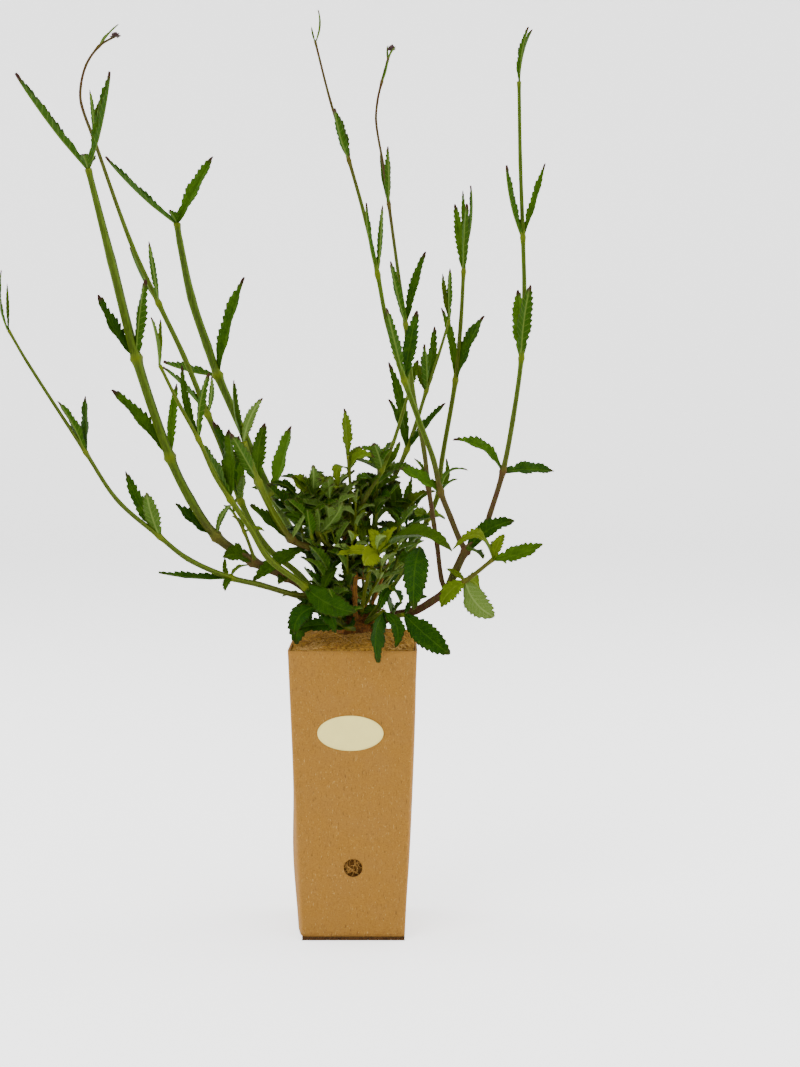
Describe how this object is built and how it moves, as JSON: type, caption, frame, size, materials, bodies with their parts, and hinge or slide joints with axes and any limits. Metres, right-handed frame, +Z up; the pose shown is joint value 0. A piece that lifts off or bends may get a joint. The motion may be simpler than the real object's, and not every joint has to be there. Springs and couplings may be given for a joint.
{
  "type": "potted verbena plant",
  "caption": "Young verbena with toothed leaves on tall square stems, not yet in flower, in a tall tapered carton pot with a bare oval label.",
  "frame": {"origin": "middle of the pot's underside, on the surface it stands on", "axes": "+Z up, the front wall with the label faces -Y, +X to the right seen from the front"},
  "size_m": [0.365, 0.2012, 0.6551],
  "materials": {
    "kraft_board": "matt brown kraft with fine fibres",
    "cut_board": "dark raw edge of folded board",
    "label_paper": "cream paper with a faint sheen",
    "soil": "matt fibrous potting soil",
    "bark": "dull red-brown bark",
    "leafy_stem": "rough green leaves with a soft sheen"
  },
  "bodies": {
    "root": {"carton_pot": "kraft_board", "base_flap": "cut_board", "name_label": "label_paper", "soil": "soil", "crown": "bark", "stem_left_tall": "leafy_stem", "stem_left_curled": "leafy_stem", "stem_left_thick": "leafy_stem", "stem_left_slender": "leafy_stem", "stem_left_low": "leafy_stem", "stem_centre": "leafy_stem", "stem_right_branched": "leafy_stem", "stem_right_back": "leafy_stem", "stem_back_shoot": "leafy_stem"}
  },
  "joints": []
}
